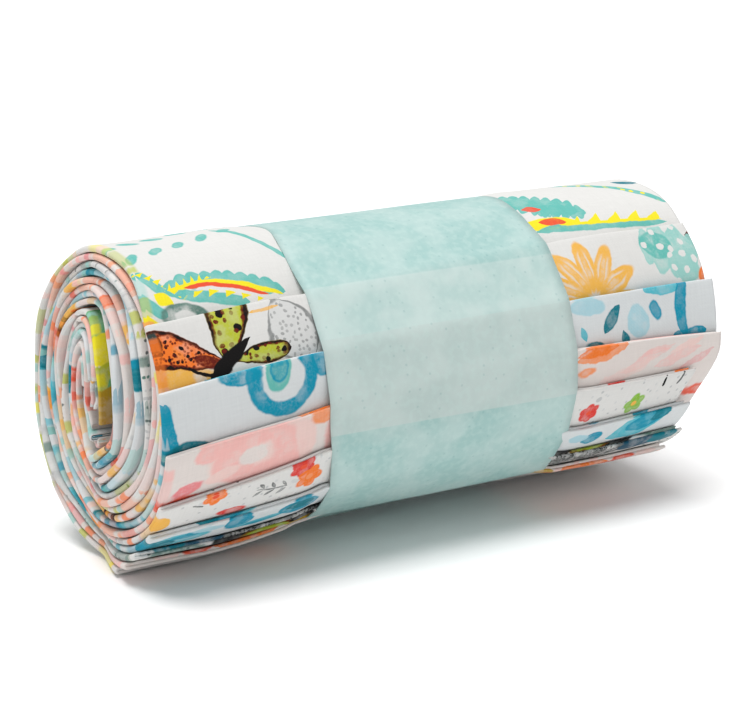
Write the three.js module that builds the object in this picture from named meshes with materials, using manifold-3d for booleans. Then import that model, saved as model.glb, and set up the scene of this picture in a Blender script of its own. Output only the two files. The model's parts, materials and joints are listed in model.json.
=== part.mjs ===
// A roll of eight fat eighths of printed quilting cotton, held by a paper band.
//
// Each fat eighth is cut 9 by 21 inches and folded in half both ways, so it is four plies thick.
// The eight are stacked with their ends stepped, and the stack is rolled up along its length.
// Every piece is a spiral sheet: its outer end is a folded edge that shows as a step on the front,
// its left edge is a round fold, its right edge is raw, and its inner end is tucked in the eye.
//
// Millimetres. X runs along the roll, the stepped ends face -Y and Z is up. The origin is on the
// surface that the roll rests on, under the middle of its length.
import * as THREE from 'three';
import { mergeVertices } from 'three/addons/utils/BufferGeometryUtils.js';
import Module from 'manifold-3d';

const wasm = await Module();
wasm.setup();

// Driving sizes of the cloth
const INCH = 25.4;
const CUT_WIDTH = 9 * INCH;
const CUT_LENGTH = 21 * INCH;
const FOLDED_WIDTH = CUT_WIDTH / 2;
const FOLDED_LENGTH = CUT_LENGTH / 2;
const THICKNESS = 1.0; // four plies pressed together
const AIR = 0.3; // space kept between one piece and the next
const PITCH = THICKNESS + AIR;
// The air takes room that the real cloth fills, so this share of each length fits in the roll
const WOUND_SHARE = 0.892;
const WOUND_LENGTH = FOLDED_LENGTH * WOUND_SHARE;

// How far the round of the folded left edge reaches along the roll
const BEAD_REACH = 0.5;

// Driving sizes of the roll
const ROLL_RADIUS = 28.7;
const BAND_LEFT = -24.5;
const BAND_RIGHT = 27.9;
const BAND_THICKNESS = 0.5;
const BAND_CLEARANCE = 0.55; // the band stands on the step edges, a little off the cloth
const BAND_SIDES = 72;
const FLAT_CLEARANCE = AIR; // the band is pressed against the cloth where the roll rests

// Angles are in degrees, from the top of the roll towards the front, on through the bottom and up
// the back, and they keep counting as the spiral winds inwards.
const TURN = 360;
const FACET = 10;

// One row for each piece, from the innermost of the stack outwards. edgeLeft and edgeRight are
// where its outer end shows on the front, shift is how far that end has slid along the roll, and
// tail is where the ends of the pieces under it let its inner end sink one pitch further in. The
// piece with a tail keeps its full folded length, or as much of it as fits before end.
const PIECES = [
  { name: 'fat_eighth_1', edgeLeft: 46, edgeRight: 35.5, shift: -1.2, color: 0xf0c060 },
  { name: 'fat_eighth_2', edgeLeft: 70, edgeRight: 60, shift: -1.4, color: 0x7cc8e0 },
  { name: 'fat_eighth_3', edgeLeft: 91, edgeRight: 79.5, shift: -1.8, color: 0xf4b8b0 },
  { name: 'fat_eighth_4', edgeLeft: 110, edgeRight: 92.5, shift: -3.4, color: 0xf2f0e8 },
  { name: 'fat_eighth_5', edgeLeft: 126, edgeRight: 108, shift: -4.8, color: 0x9fd8e6 },
  { name: 'fat_eighth_6', edgeLeft: 134, edgeRight: 121, shift: -6.2, color: 0xa8aca8 },
  { name: 'fat_eighth_7', edgeLeft: 144, edgeRight: 132, shift: -6.5, color: 0xf6d8cc },
  { name: 'fat_eighth_8', edgeLeft: 172, edgeRight: 162, shift: -3, tail: [768, 822], end: 850, color: 0xd8ece4 },
];
const BAND_COLOR = 0xb4dcd8;
const CLOTH_ROUGHNESS = 0.9;
const PAPER_ROUGHNESS = 0.7;

const STACK = PITCH * PIECES.length;
const SLIDE_FADE = 150; // a piece's slide along the roll dies out over this much winding
const TAIL_EASE = 30; // a tail sinks one pitch over this much winding
const LARGEST_SLIDE = Math.max(...PIECES.map((piece) => -piece.shift));
const LEFT_END = -(FOLDED_WIDTH - LARGEST_SLIDE) / 2; // keeps the whole roll centred on x = 0

// Where the stack sinks under the stepped ends as it winds from the first turn to the second
const STEPS_BEGIN = 30;
const STEPS_END = 162;
const STEPS_EASE = 14;
// Where the stack closes in on the eye as it winds from the second turn to the third
const CORE_BEGIN = -6;
const CORE_SPAN = 150;
const CORE_DEPTH = 6.8;
const CORE_FULL = 1090; // no piece winds past this angle

const BAND_INNER = ROLL_RADIUS + BAND_CLEARANCE;
const BAND_OUTER = BAND_INNER + BAND_THICKNESS;
const FLAT_INNER = ROLL_RADIUS + FLAT_CLEARANCE;
const AXIS_HEIGHT = FLAT_INNER + BAND_THICKNESS;

const radians = THREE.MathUtils.degToRad;
const clamp = THREE.MathUtils.clamp;

// A straight ramp whose two bends are eased, from 0 before STEPS_BEGIN to STACK after STEPS_END
function stepRamp(angle) {
  const eased = (x) => {
    if (x < -STEPS_EASE) return 0;
    return x < STEPS_EASE ? (x + STEPS_EASE) ** 2 / (4 * STEPS_EASE) : x;
  };
  return (STACK * (eased(angle - STEPS_BEGIN) - eased(angle - STEPS_END))) / (STEPS_END - STEPS_BEGIN);
}

function coreRamp(angle) {
  const share = clamp((angle - CORE_BEGIN) / CORE_SPAN, 0, 1);
  return (CORE_DEPTH * (1 - Math.cos(Math.PI * share))) / 2;
}

// The distance from the roll's axis to the tangent line of the outermost piece's outer face, whose
// outward normal is at this angle. Lowering it by a constant gives an exactly parallel spiral.
function support(angle) {
  return (
    ROLL_RADIUS + STACK - stepRamp(angle) - stepRamp(angle - TURN) - coreRamp(angle - 2 * TURN)
  );
}

function supportSlope(angle) {
  const half = 0.25;
  return (support(angle + half) - support(angle - half)) / radians(2 * half);
}

// The point of the spiral lying depth inside the outermost face, as [y, z]
function spiralPoint(angle, depth) {
  const a = radians(angle);
  const out = support(angle) - depth;
  const along = supportSlope(angle);
  return [
    -out * Math.sin(a) - along * Math.cos(a),
    AXIS_HEIGHT + out * Math.cos(a) - along * Math.sin(a),
  ];
}

// The spiral's angle at which its point is seen at this direction from the roll's axis
function angleSeenAt(direction, depth) {
  let angle = direction;
  for (let pass = 0; pass < 20; pass += 1) {
    const lead = Math.atan2(supportSlope(angle), support(angle) - depth);
    angle = direction - THREE.MathUtils.radToDeg(lead);
  }
  return angle;
}

// How far a piece's tail has sunk towards the eye at this angle
function sunk(piece, angle) {
  const steps = (piece.tail ?? []).map((begin) => clamp((angle - begin) / TAIL_EASE, 0, 1));
  return PITCH * steps.reduce((sum, t) => sum + t * t * (3 - 2 * t), 0);
}

// The facet angles of one piece, from its outer end until its length is used or the eye is full
function facetAngles(piece, start, depth) {
  const angles = [start];
  const middle = (angle) => depth + THICKNESS / 2 + sunk(piece, angle);
  const length = piece.tail ? FOLDED_LENGTH : WOUND_LENGTH;
  let [y, z] = spiralPoint(start, middle(start));
  let wound = 0;
  while (wound < length && angles.at(-1) < (piece.end ?? CORE_FULL)) {
    const angle = angles.at(-1) + FACET;
    const [nextY, nextZ] = spiralPoint(angle, middle(angle));
    wound += Math.hypot(nextY - y, nextZ - z);
    [y, z] = [nextY, nextZ];
    angles.push(angle);
  }
  return angles;
}

// The section of a folded piece: share of the thickness and place along the roll, from the round
// fold at the left to the raw edge at the right.
const SECTION = [
  [0, BEAD_REACH],
  [0.15, 0.3 * BEAD_REACH],
  [0.5, 0],
  [0.85, 0.3 * BEAD_REACH],
  [1, BEAD_REACH],
  [1, FOLDED_WIDTH],
  [0, FOLDED_WIDTH],
];

function spiralSheet(piece, depth) {
  const outer = Math.min(piece.edgeLeft, piece.edgeRight);
  const start = Math.floor(angleSeenAt(outer, depth) / FACET) * FACET;
  const angles = facetAngles(piece, start, depth);
  const corners = SECTION.length;
  const positions = [];
  for (const angle of angles) {
    const slide = piece.shift * clamp(1 - (angle - start) / SLIDE_FADE, 0, 1);
    for (const [share, along] of SECTION) {
      const [y, z] = spiralPoint(angle, depth + sunk(piece, angle) + share * THICKNESS);
      positions.push(LEFT_END + slide + along, y, z);
    }
  }
  const indices = [];
  for (let row = 0; row + 1 < angles.length; row += 1) {
    for (let corner = 0; corner < corners; corner += 1) {
      const here = row * corners + corner;
      const beside = row * corners + ((corner + 1) % corners);
      indices.push(here, beside, here + corners);
      indices.push(beside, beside + corners, here + corners);
    }
  }
  const last = (angles.length - 1) * corners;
  for (let corner = 1; corner + 1 < corners; corner += 1) {
    indices.push(0, corner + 1, corner);
    indices.push(last, last + corner, last + corner + 1);
  }
  const geometry = new THREE.BufferGeometry();
  geometry.setAttribute('position', new THREE.Float32BufferAttribute(positions, 3));
  geometry.setIndex(indices);
  return geometry;
}

function toManifold(source) {
  const geometry = source.clone();
  geometry.deleteAttribute('normal');
  geometry.deleteAttribute('uv');
  const merged = mergeVertices(geometry);
  return new wasm.Manifold(
    new wasm.Mesh({
      numProp: 3,
      vertProperties: new Float32Array(merged.attributes.position.array),
      triVerts: new Uint32Array(merged.index.array),
    }),
  );
}

function toGeometry(solid) {
  const mesh = solid.getMesh();
  const geometry = new THREE.BufferGeometry();
  geometry.setAttribute('position', new THREE.BufferAttribute(mesh.vertProperties, 3));
  geometry.setIndex(new THREE.BufferAttribute(mesh.triVerts, 1));
  return geometry;
}

// The stepped ends lie a little askew, so each is trimmed along the line between the two places
// where it shows at the left and the right end of the roll.
const TRIM_REACH = 14;
const TRIM_DEPTH = 12;

function trimBlock(piece, depth) {
  const corner = (direction, x) => {
    const [y, z] = spiralPoint(angleSeenAt(direction, depth), depth);
    return new THREE.Vector3(x, y, z);
  };
  const left = corner(piece.edgeLeft, LEFT_END + piece.shift);
  const right = corner(piece.edgeRight, LEFT_END + piece.shift + FOLDED_WIDTH);
  const along = right.clone().sub(left).normalize();
  const middle = left.clone().add(right).multiplyScalar(0.5);
  const outward = middle.clone().sub(new THREE.Vector3(middle.x, 0, AXIS_HEIGHT)).normalize();
  const away = outward.clone().cross(along).normalize();
  const up = along.clone().cross(away);
  const geometry = new THREE.BoxGeometry(FOLDED_WIDTH * 1.2, TRIM_REACH, TRIM_DEPTH);
  geometry.translate(0, TRIM_REACH / 2, 0);
  geometry.applyMatrix4(new THREE.Matrix4().makeBasis(along, away, up).setPosition(middle));
  return geometry;
}

function foldedPiece(piece, index) {
  const depth = STACK - PITCH * (index + 1);
  const sheet = toManifold(spiralSheet(piece, depth));
  return toGeometry(sheet.subtract(toManifold(trimBlock(piece, depth))));
}

// A round outline whose bottom is cut level at the given distance below the axis
function flattenedCircle(path, radius, flat) {
  const halfFlat = Math.acos(flat / radius);
  const down = -Math.PI / 2;
  return path.absarc(0, 0, radius, down + halfFlat, down + 2 * Math.PI - halfFlat, false);
}

function paperBand() {
  const outline = flattenedCircle(new THREE.Shape(), BAND_OUTER, FLAT_INNER + BAND_THICKNESS);
  outline.holes.push(flattenedCircle(new THREE.Path(), BAND_INNER, FLAT_INNER));
  const geometry = new THREE.ExtrudeGeometry(outline, {
    depth: BAND_RIGHT - BAND_LEFT,
    curveSegments: BAND_SIDES,
    bevelEnabled: false,
  });
  // The outline's x and y become the roll's y and z, and the extrusion runs along the roll
  const basis = new THREE.Matrix4().makeBasis(
    new THREE.Vector3(0, 1, 0),
    new THREE.Vector3(0, 0, 1),
    new THREE.Vector3(1, 0, 0),
  );
  geometry.applyMatrix4(basis.setPosition(BAND_LEFT, 0, AXIS_HEIGHT));
  return geometry;
}

function namedMesh(name, geometry, color, roughness) {
  const material = new THREE.MeshStandardMaterial({ color, roughness, metalness: 0 });
  const mesh = new THREE.Mesh(geometry, material);
  mesh.name = name;
  return mesh;
}

const roll = new THREE.Group();
PIECES.forEach((piece, index) => {
  roll.add(namedMesh(piece.name, foldedPiece(piece, index), piece.color, CLOTH_ROUGHNESS));
});
roll.add(namedMesh('paper_band', paperBand(), BAND_COLOR, PAPER_ROUGHNESS));

export default roll;
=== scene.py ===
"""A roll of eight printed fat eighths in a paper band.

Each fat eighth is one cut of quilting cotton, folded in half both ways and wound into the roll
with the others. The cloth is made as a real folded sheet of four plies: one round fold at the
left end, two folds at its outer end and four raw edges at the right end. Lengths are in
millimetres here and become metres when a mesh is made. X runs along the roll, -Y is the stepped
front, Z is up.
"""
import json
import math

import bpy
import numpy as np
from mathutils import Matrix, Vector


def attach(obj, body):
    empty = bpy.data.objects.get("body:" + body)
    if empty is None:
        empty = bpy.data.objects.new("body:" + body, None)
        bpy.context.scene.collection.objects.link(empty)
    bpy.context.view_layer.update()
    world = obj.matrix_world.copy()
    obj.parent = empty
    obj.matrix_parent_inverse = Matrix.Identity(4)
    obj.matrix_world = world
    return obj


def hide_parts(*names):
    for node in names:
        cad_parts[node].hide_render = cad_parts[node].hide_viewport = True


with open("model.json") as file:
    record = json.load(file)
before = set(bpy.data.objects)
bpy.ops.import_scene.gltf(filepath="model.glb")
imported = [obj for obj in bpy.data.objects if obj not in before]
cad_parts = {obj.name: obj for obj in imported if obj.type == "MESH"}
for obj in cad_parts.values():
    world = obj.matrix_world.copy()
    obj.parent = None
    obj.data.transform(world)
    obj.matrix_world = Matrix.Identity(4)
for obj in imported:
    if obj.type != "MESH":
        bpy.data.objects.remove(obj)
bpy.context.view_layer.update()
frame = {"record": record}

MM = 0.001

# ---------------------------------------------------------------- sizes shared with the solids

CUT_WIDTH = 228.6
CUT_LENGTH = 533.4
FOLDED_WIDTH = CUT_WIDTH / 2
FOLDED_LENGTH = CUT_LENGTH / 2
WOUND_LENGTH = FOLDED_LENGTH * 0.892
PITCH = 1.3
THICKNESS = 1.0
ROLL_RADIUS = 28.7
AXIS_HEIGHT = 29.5
BAND_LEFT = -24.5
BAND_RIGHT = 27.9
TURN = 360.0

# Innermost of the stack first: where the outer end shows at the roll's left end, at the band's
# two edges and at the right end, in degrees from the top towards the front, how far the piece
# has slid along the roll, and how much wider its fold left the outer half.
PIECES = {
    "fat_eighth_1": ((46.3, 44.1, 37.6, 37.1), -1.2, 0.5),
    "fat_eighth_2": ((71.5, 66.0, 61.0, 62.2), -1.5, 2.2),
    "fat_eighth_3": ((93.8, 84.9, 80.6, 83.0), -1.0, 2.2),
    "fat_eighth_4": ((116.6, 103.2, 96.2, 94.8), -1.3, -3.0),
    "fat_eighth_5": ((134.0, 120.5, 113.5, 110.5), -1.3, -0.2),
    "fat_eighth_6": ((147.0, 140.5, 129.0, 124.0), -2.4, 1.6),
    "fat_eighth_7": ((156.0, 151.0, 137.0, 134.0), -2.8, 0.8),
    "fat_eighth_8": ((168.0, 170.0, 178.0, 180.0), -2.0, 0.5),
}
STACK = PITCH * len(PIECES)
SLIDE_FADE = 75.0
LEFT_END = -(FOLDED_WIDTH - 6.5) / 2
RIGHT_END = LEFT_END + FOLDED_WIDTH
STEPS_BEGIN, STEPS_END, STEPS_EASE = 30.0, 162.0, 14.0

# The second turn lies loose down the front, and the third bends over the eye: an arch of this
# radius about this point, back and up from the roll's axis.
LOOSE_SHARE, LOOSE_MIDDLE, LOOSE_SPAN = 0.33, 426.0, 72.0
ARCH_BACK, ARCH_UP, ARCH_RADIUS = 4.35, 6.83, 10.2
ARCH_BEGIN, ARCH_END = 687.5, 810.0

# From the arch each inner end hangs into the eye. Points back and up from the axis.
TAILS = {
    "fat_eighth_1": [(4.0, 4.6), (5.6, 1.4), (6.4, -1.8), (5.6, -4.6), (3.4, -6.3), (-0.8, -6.9),
                     (-4.2, -6.0), (-5.9, -4.6)],
    "fat_eighth_2": [(2.8, 4.6), (4.3, 1.4), (5.0, -1.6), (4.3, -3.8), (2.3, -5.1), (-1.0, -5.5),
                     (-3.2, -4.9)],
    "fat_eighth_3": [(1.5, 4.6), (3.0, 1.4), (3.6, -1.3), (3.0, -3.0), (1.3, -3.9), (-0.6, -4.1)],
    "fat_eighth_4": [(0.2, 4.9), (1.2, 2.7), (0.5, 1.0), (1.5, -0.6), (0.9, -2.0)],
    "fat_eighth_5": [(-1.5, 5.4), (-1.0, 4.0)],
    "fat_eighth_6": [(-2.9, 4.8), (-2.1, 2.9), (-3.0, 1.3), (-1.6, -0.2), (-2.3, -1.6)],
    "fat_eighth_7": [(-4.1, 5.3), (-4.25, 3.9)],
    "fat_eighth_8": [(-5.5, 3.6), (-5.3, 0.2), (-4.8, -2.4), (-4.0, -3.3)],
}


def smooth(x):
    x = np.clip(x, 0, 1)
    return x * x * (3 - 2 * x)


def eased(x):
    """0 well before zero, x well after it, with a round bend between."""
    bend = (x + STEPS_EASE) ** 2 / (4 * STEPS_EASE)
    return np.where(x < -STEPS_EASE, 0, np.where(x < STEPS_EASE, bend, x))


def bump(angle, middle, width):
    """1 at this angle round the roll, dying away smoothly to both sides. In degrees."""
    away = (angle - middle + TURN / 2) % TURN - TURN / 2
    return np.exp(-(away / width) ** 2)


def step_ramp(angle):
    span = STEPS_END - STEPS_BEGIN
    return STACK * (eased(angle - STEPS_BEGIN) - eased(angle - STEPS_END)) / span


def reach(angle, depth):
    """How far the face at this depth in the stack lies from the roll's axis at this angle."""
    a = np.radians(angle)
    wound = ROLL_RADIUS + STACK - step_ramp(angle) - step_ramp(angle - TURN)
    arch = ARCH_RADIUS - ARCH_BACK * np.sin(a) + ARCH_UP * np.cos(a)
    away = np.clip((angle - LOOSE_MIDDLE) / LOOSE_SPAN, -1, 1)
    loose = LOOSE_SHARE * np.cos(np.pi / 2 * away) ** 2
    return np.where(angle < ARCH_BEGIN, wound, arch) - depth * (1 + loose)


def reach_slope(angle, depth):
    half = 0.25
    return (reach(angle + half, depth) - reach(angle - half, depth)) / np.radians(2 * half)


def spiral_point(angle, depth):
    a = np.radians(angle)
    out, along = reach(angle, depth), reach_slope(angle, depth)
    y = -out * np.sin(a) - along * np.cos(a)
    z = AXIS_HEIGHT + out * np.cos(a) - along * np.sin(a)
    return np.stack([y, z], -1)


def end_at(x, ends):
    """The angle of a piece's outer end at this place along the roll."""
    return np.interp(x, (LEFT_END, BAND_LEFT, BAND_RIGHT, RIGHT_END), ends)


def band_edges(turn):
    """Where the band's two edges lie along the roll, at this angle round it."""
    lower = smooth((turn - 85) / 60) * (1 - smooth((turn - 170) / 60))
    left = BAND_LEFT - 0.2 + 3.0 * bump(turn, 0, 18) + 3.5 * lower
    right = BAND_RIGHT + 0.1 + 1.5 * bump(turn, -5, 15) - 0.4 * lower
    return left, right


def squash(x, turn):
    """How far the roll's own weight and the band push its outside in: a little on top, and most
    where the front turns under."""
    under = 0.5 - 2.5 * smooth((x + 42) / 27) + 0.9 * smooth((x - 30) / 18)
    return -0.6 * bump(turn, -13, 42) + under * bump(turn, 158, 26)


def angle_seen_at(direction, depth):
    angle = np.asarray(direction, float)
    for _ in range(20):
        lead = np.degrees(np.arctan2(reach_slope(angle, depth), reach(angle, depth)))
        angle = direction - lead
    return angle


def through(points, step=0.25):
    """A smooth line through given points."""
    points = np.array(points, float)
    ends = np.concatenate([[2 * points[0] - points[1]], points, [2 * points[-1] - points[-2]]])
    line = [points[:1]]
    for p0, p1, p2, p3 in zip(ends[:-3], ends[1:-2], ends[2:-1], ends[3:]):
        t = np.linspace(0, 1, max(int(np.linalg.norm(p2 - p1) / step), 2) + 1)[1:, None]
        line.append(((2 * p1) + (p2 - p0) * t + (2 * p0 - 5 * p1 + 4 * p2 - p3) * t ** 2
                     + (3 * p1 - p0 - 3 * p2 + p3) * t ** 3) / 2)
    return np.concatenate(line)


# ---------------------------------------------------------------- one folded sheet of cloth

PLY = 0.21           # one thickness of cotton
PLY_SPACING = 0.285  # from one ply of a piece to the next
INNER_SHORT = 1.2    # how much further in the two inner plies end
ROW_STEP = 1.7
FOLD_FACETS = 8


def wave(x, length, shift=0.0):
    return np.sin(2 * np.pi * x / length + shift)


def wander(x, seed):
    """A smooth uneven line within about 1, from three waves that never fall in step."""
    return (wave(x, 23.7, 1.7 * seed) + wave(x, 41.3, 2.9 * seed) + wave(x, 97.0, 4.3 * seed)) / 2.2


class WoundLine:
    """The middle line of one wound piece, seen from the end, by length from its outer end."""

    def __init__(self, node, number, first):
        self.middle = STACK - PITCH * number + THICKNESS / 2
        start = float(angle_seen_at(first, self.middle))
        wound = np.arange(start - 12, ARCH_END, 0.5)
        line = spiral_point(wound, self.middle)
        tail = through([line[-3], line[-1]] + [(y, z + AXIS_HEIGHT) for y, z in TAILS[node]])
        tail = tail[np.linalg.norm(tail - line[-1], axis=1).argmin() + 1:]
        self.line = np.concatenate([line, tail])
        self.angles = np.concatenate([wound, ARCH_END + 0.5 * np.arange(1, len(tail) + 1)])
        stride = np.linalg.norm(np.diff(self.line, axis=0), axis=1)
        self.run = np.concatenate([[0], np.cumsum(stride)])
        tangent = np.gradient(self.line, self.run, axis=0)
        tangent /= np.linalg.norm(tangent, axis=1)[:, None]
        self.outward = np.stack([tangent[:, 1], -tangent[:, 0]], -1)
        turning = np.abs(np.gradient(np.unwrap(np.arctan2(tangent[:, 1], tangent[:, 0])), self.run))
        self.row_step = np.clip(0.34 / np.maximum(turning, 0.01), 0.55, ROW_STEP)
        self.start = self.run_at(start)
        self.length = self.run[-1] - self.start

    def run_at(self, angle):
        return np.interp(angle, self.angles, self.run)

    def angle_at(self, run):
        return np.interp(run, self.run, self.angles)

    def rows(self, begin, end):
        """Places along the line, closer together where it bends sharply."""
        run = np.arange(begin, end, 0.05)
        count = np.cumsum(0.05 / np.interp(run + self.start, self.run, self.row_step))
        wanted = np.linspace(count[0], count[-1], int(count[-1]))
        return list(np.interp(wanted, count, run))

    def place(self, run, inward):
        """Points at this length along the line and this far towards the axis from it."""
        y, z = (np.interp(run, self.run, self.line[:, i])
                - inward * np.interp(run, self.run, self.outward[:, i]) for i in (0, 1))
        return y, z


def over_a_fold(spots):
    """Spots along one half, back to the fold, round it and out along the other half. Returns the
    distance from the fold, the side (1 to -1) and how far round the fold (0 to 1)."""
    turn = np.linspace(0, np.pi, FOLD_FACETS + 1)
    still = np.zeros(len(spots))
    distance = np.concatenate([spots[::-1], 0 * turn, spots])
    side = np.concatenate([still + 1, np.cos(turn), still - 1])
    over = np.concatenate([still, np.sin(turn), still])
    return distance, side, over


# Soft dents and ridges over the outer layers: where along the roll, where round it in degrees from
# the top towards the front, half length, half width, turn from the roll's length, and depth.
CREASES = [
    (-33.0, 30.0, 11.0, 4.0, 62.0, -0.40),
    (-29.0, 12.0, 8.0, 3.0, 75.0, 0.30),
    (-41.0, 2.0, 12.0, 4.5, 40.0, -0.30),
    (-45.0, 58.0, 10.0, 3.0, 20.0, -0.28),
    (-36.0, 76.0, 12.0, 3.0, 8.0, 0.26),
    (-40.0, 99.0, 10.0, 2.5, -10.0, -0.25),
    (33.0, 14.0, 9.0, 3.5, -60.0, -0.38),
    (40.0, 40.0, 12.0, 3.5, -25.0, 0.30),
    (45.0, 68.0, 11.0, 3.0, 12.0, -0.30),
    (38.0, 90.0, 10.0, 2.5, -8.0, -0.26),
    (-38.0, -70.0, 14.0, 5.0, 50.0, -0.35),
    (40.0, -60.0, 12.0, 4.0, -50.0, -0.35),
    (-44.0, 210.0, 12.0, 7.0, 0.0, -0.70),
]


# How far the outermost layers' folds lie back from the left end, by angle round the roll.
RIM = {0: 0.3, 45: 0.0, 150: 0.0, 172: 1.0, 187: 2.4, 203: 0.6, 225: -1.2, 243: -1.1, 259: -0.9,
       285: -0.2, 306: 0.9, 330: 1.2, 346: 0.8}


def settle(x, y, z):
    """The roll as it lies: the eye sits towards the back and stands out a little, the layers
    bunch and part, and both ends swell past the band and rest on the floor."""
    z = z - AXIS_HEIGHT
    radius = np.hypot(y, z)
    around = np.arctan2(-y, z)
    turn = np.degrees(around) % TURN
    inner = 1 - smooth((radius - 8) / 19)
    loose = inner * smooth(radius / 6)
    ripple = (np.sin(3 * around - 0.05 * x + 2.2)
              + 0.7 * np.sin(5 * around + 0.06 * x + radius / 5)
              + 0.6 * np.sin(2 * around - 0.08 * x - radius / 4))
    band_left, band_right = band_edges(turn)
    outside = np.maximum(band_left - x, x - band_right)
    swell = smooth((outside + 1) / 6) * (1 - 0.5 * smooth(outside / 30))
    swell = swell * (1 - 0.55 * bump(turn, -13, 50))
    pucker = np.exp(-((outside - 4) / 4) ** 2) * np.sin(13 * around + 2 * np.sin(3 * around))
    press = -0.3 + 0.9 * swell + 0.12 * pucker + squash(x, turn)
    for place, middle, half_length, half_width, tilt, depth in CREASES:
        along = x - place
        across = ((turn - middle + TURN / 2) % TURN - TURN / 2) * np.pi / 180 * ROLL_RADIUS
        c, s = np.cos(np.radians(tilt)), np.sin(np.radians(tilt))
        press = press + depth * np.exp(-((along * c + across * s) / half_length) ** 2
                                       - ((across * c - along * s) / half_width) ** 2)
    press = press * smooth((radius - 4) / 22) + 0.3 * loose * ripple
    scale = 1 + press / np.maximum(radius, 3)
    left = smooth((8 - x) / 60)
    rim = np.interp(turn, list(RIM), list(RIM.values()), period=TURN) * smooth((radius - 21) / 7)
    x = x - left * (2.5 * inner * smooth((8 - y) / 16) + 0.024 * (26 - y) - rim)
    under = smooth((turn - 88) / 24) * (1 - smooth((turn - 190) / 50)) * smooth((radius - 14) / 8)
    x = x - 3.4 * smooth((x + 5) / 66) * under
    y = y * scale + inner * (2.3 - 0.09 * y)
    return x, y, np.maximum(z * scale + AXIS_HEIGHT, PLY * 0.6)


def quads(rows, columns):
    a = np.arange(rows * columns).reshape(rows, columns)
    return np.stack([a[:-1, :-1], a[:-1, 1:], a[1:, 1:], a[1:, :-1]], -1).reshape(-1, 4)


def mesh_piece(name, points, faces, flat_map, map_name):
    """A mesh object at the origin from points in millimetres, with a UV map in millimetres."""
    mesh = bpy.data.meshes.new(name)
    mesh.from_pydata((points.reshape(-1, 3) * MM).tolist(), [], faces.tolist())
    layer = mesh.uv_layers.new(name=map_name)
    corners = faces.reshape(-1)
    layer.data.foreach_set("uv", flat_map.reshape(-1, 2)[corners].astype(np.float32).ravel())
    piece = bpy.data.objects.new(name, mesh)
    bpy.context.scene.collection.objects.link(piece)
    mesh.polygons.foreach_set("use_smooth", np.ones(len(faces), bool))
    mesh.update()
    return piece


def thicken(piece, thickness):
    """Gives a single surface its real thickness, half to each side."""
    wall = piece.modifiers.new("thickness", "SOLIDIFY")
    wall.thickness = thickness * MM
    wall.offset = 0
    bpy.ops.object.select_all(action="DESELECT")
    piece.select_set(True)
    bpy.context.view_layer.objects.active = piece
    bpy.ops.object.modifier_apply(modifier=wall.name)


ACROSS = [0.7, 1.3, 2.3, 4.0, 7.0, 10.5, 14.0, 17.5, 21.0, 24.0, 27.0, 29.5, 32.0, 38.0, 47.0,
          56.0, 65.0, 73.0, 79.0, 82.0, 84.5, 87.5, 90.5, 94.0, 97.5, 101.0, 104.5, 108.0,
          111.0, 112.9, 113.8, FOLDED_WIDTH]


def fat_eighth(number, node, ends, shift, wider):
    """One piece, four plies. Rows run along the cloth and over the crosswise folds at its outer
    end; columns run across it and round the lengthwise fold at the left end."""
    line = WoundLine(node, number, min(ends) - 2.0)
    length = line.length - 1.5

    x, side, round_left = (v[None, :] for v in over_a_fold(np.array(ACROSS)))
    near_end = [0.4, 0.9, 1.6, 2.5, 3.7]
    along = near_end + line.rows(5.2, length)
    s, pair, round_end = (v[:, None] for v in over_a_fold(np.array(along)))

    # The outer end lies a little askew, and the skew dies out towards the inner end
    share = np.clip(x / FOLDED_WIDTH, 0, 1)
    edge = angle_seen_at(end_at(LEFT_END + x, ends), line.middle)
    begin = line.run_at(edge) + 0.3 * wave(x, 131.0, 2.2 * number) + 0.12 * wave(x, 43.0, number)
    run = begin + s + PLY_SPACING / 2 * (1.2 - round_end) + (line.start - begin) * s / length

    # Plies 1 and 4 lie outside plies 2 and 3, and each outer one turns into its inner neighbour
    settled = smooth((s - 12) / 25)
    plump = 1.06 + 0.1 * settled * wave(run, 33.0, 2.6 * number)
    puff_left = 1 + (plump - 1) * np.exp(-(x / 2.0) ** 2)
    puff_end = 1 + 0.35 * np.exp(-(s / 2.0) ** 2)
    from_middle = PLY_SPACING * (1 + 0.5 * pair * puff_end) * puff_left
    nudge = 0.1 * settled * (wave(run, 47.0, 1.3 * number) + 0.5 * wave(run, 19.0, 5.1 * number))
    inward = -from_middle * side - 0.5 * PLY_SPACING * (puff_end - 1) + nudge
    y, z = line.place(run, inward)

    reach_left = 1.5 * PLY_SPACING * 1.1
    x_cloth = x + (wider - INNER_SHORT * (1 - side) / 2) * smooth(x / 60)
    x_place = PLY / 2 + reach_left - from_middle * round_left + x_cloth
    turned = line.angle_at(run) - line.angle_at(line.start)
    slide = shift * np.clip(1 - turned / SLIDE_FADE, 0, 1)
    uneven = 0.15 * wander(run + 31 * number, number)
    uneven = uneven + 0.55 * settled * (wave(run, 71.0, 2.1 * number)
                                        + 0.5 * wave(run, 27.0, 4.7 * number)) * (1 - share)
    frayed = 0.3 * wander(run, 3.1 * number + 2 * np.sign(side) + np.sign(pair)) * share
    x_place = LEFT_END + slide + x_place + uneven + frayed
    points = np.stack(np.broadcast_arrays(*settle(x_place, y, z)), -1)

    flat_x = np.where(side > 0, x_cloth, -x_cloth) + 0.45 * np.where(round_left > 0, side, 0)
    flat_s = np.where(pair > 0, s, -s) - 0.3 * np.where(round_end > 0, -pair, 0)
    flat_map = np.stack(np.broadcast_arrays(flat_x, flat_s), -1)
    rows, columns = points.shape[:2]
    piece = mesh_piece(f"cloth_{number}", points, quads(rows, columns), flat_map, "cloth")
    thicken(piece, PLY)
    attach(piece, "root")
    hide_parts(node)
    return piece


# ---------------------------------------------------------------- the paper band

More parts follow.
